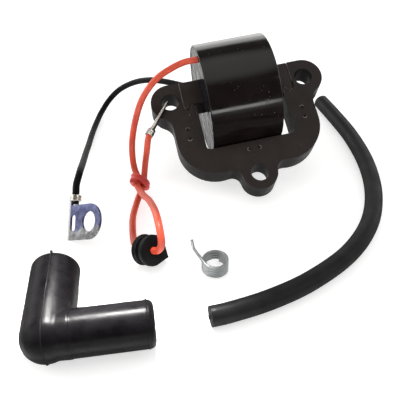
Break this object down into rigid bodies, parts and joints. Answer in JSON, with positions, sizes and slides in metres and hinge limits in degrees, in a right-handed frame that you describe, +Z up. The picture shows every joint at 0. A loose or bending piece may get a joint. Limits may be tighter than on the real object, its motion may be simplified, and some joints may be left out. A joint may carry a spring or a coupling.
{
  "type": "ignition coil set",
  "caption": "Small-engine ignition coil: potted drum on a laminated core plate with eared lugs, two short leads, and a loose high-tension lead, right-angle plug boot and spring.",
  "frame": {"origin": "middle of the footprint of the coil, boot and spring, on the surface they lie on", "axes": "+Z up from the surface; +Y away from the viewer, from the boot towards the coil; +X to the viewer's right, roughly along the coil drum's axis"},
  "size_m": [0.132, 0.1558, 0.0536],
  "materials": {
    "core_coat": "satin brown-black coat",
    "case_plastic": "gloss",
    "potting_resin": "mirror gloss, cast",
    "bobbin_plastic": "matt, moulded",
    "copper": "bare or enamelled copper",
    "insulation_paper": "varnished paper",
    "tinned_metal": "bright tin",
    "orange_wire": "satin",
    "black_wire": "satin",
    "lead_jacket": "satin, extruded",
    "rubber": "satin, moulded",
    "plated_steel": "zinc plate with a blue-violet tint",
    "spring_steel": "bright zinc"
  },
  "bodies": {
    "coil": {"core_plate": "core_coat", "crossbar": "core_coat", "coil_case": "case_plastic", "potting": "potting_resin", "bobbin": "bobbin_plastic", "primary_winding": "copper", "layer_insulation": "insulation_paper", "secondary_winding": "copper", "outer_wrap": "insulation_paper", "ht_spike": "tinned_metal", "primary_splice": "copper", "ground_splice": "copper", "primary_lead": "orange_wire", "ground_lead": "black_wire", "pin_terminal": "tinned_metal", "wire_tie": "orange_wire", "ground_terminal": "plated_steel", "grommet": "rubber"},
    "boot": {"plug_boot": "rubber"},
    "spring": {"contact_spring": "spring_steel"},
    "lead": {"ht_lead": "lead_jacket", "lead_core_near": "copper", "lead_core_far": "copper"}
  },
  "joints": [
    {"name": "boot_lift", "type": "slide", "parent": "coil", "child": "boot", "axis": [0, 0, 1], "range_m": [0, 0.06]},
    {"name": "spring_lift", "type": "slide", "parent": "coil", "child": "spring", "axis": [0, 0, 1], "range_m": [0, 0.06]},
    {"name": "lead_lift", "type": "slide", "parent": "coil", "child": "lead", "axis": [0, 0, 1], "range_m": [0, 0.06]}
  ]
}
